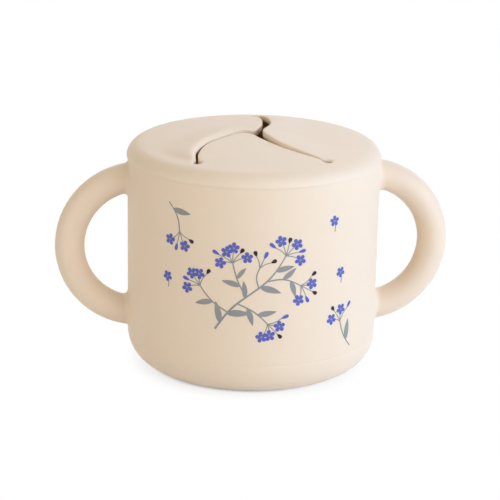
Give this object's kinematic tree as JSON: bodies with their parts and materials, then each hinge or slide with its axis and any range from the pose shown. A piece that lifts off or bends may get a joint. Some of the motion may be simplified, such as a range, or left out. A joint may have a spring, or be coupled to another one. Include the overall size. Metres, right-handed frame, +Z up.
{
  "type": "toddler snack container",
  "caption": "Soft cup with a loop handle on each side and a lift-off domed lid, whose curved slits form springy flaps that a small hand reaches through for snacks.",
  "frame": {"origin": "centre of the base, on the surface that the cup stands on", "axes": "+X through both handles to the right, +Y from the front to the back, +Z up the cup's axis to the lid"},
  "size_m": [0.1384, 0.088, 0.0812],
  "materials": {
    "cup_silicone": "matt cream silicone, soft to the touch",
    "lid_silicone": "matt cream silicone, soft to the touch"
  },
  "bodies": {
    "cup": {"cup_shell": "cup_silicone", "left_handle": "cup_silicone", "right_handle": "cup_silicone"},
    "lid": {"lid_rim": "lid_silicone"},
    "front_flap": {"front_flap": "lid_silicone"},
    "right_flap": {"right_flap": "lid_silicone"},
    "left_flap": {"left_flap": "lid_silicone"}
  },
  "joints": [
    {"name": "lid_lift", "type": "slide", "parent": "cup", "child": "lid", "axis": [0, 0, 1], "range_m": [0, 0.08]},
    {"name": "front_flap_bend", "type": "hinge", "parent": "lid", "child": "front_flap", "pos_m": [-0.00286, -0.02928, 0.07802], "axis": [0.995, -0.0994, 0], "range_deg": [-60, 45], "stiffness_Nm_per_rad": 0.01},
    {"name": "right_flap_bend", "type": "hinge", "parent": "lid", "child": "right_flap", "pos_m": [0.01594, -0.00675, 0.07892], "axis": [-0.2371, 0.9715, 0], "range_deg": [-60, 45], "stiffness_Nm_per_rad": 0.01},
    {"name": "left_flap_bend", "type": "hinge", "parent": "lid", "child": "left_flap", "pos_m": [-0.005, 0.01625, 0.0789], "axis": [-0.4422, -0.8969, 0], "range_deg": [-60, 45], "stiffness_Nm_per_rad": 0.01}
  ]
}
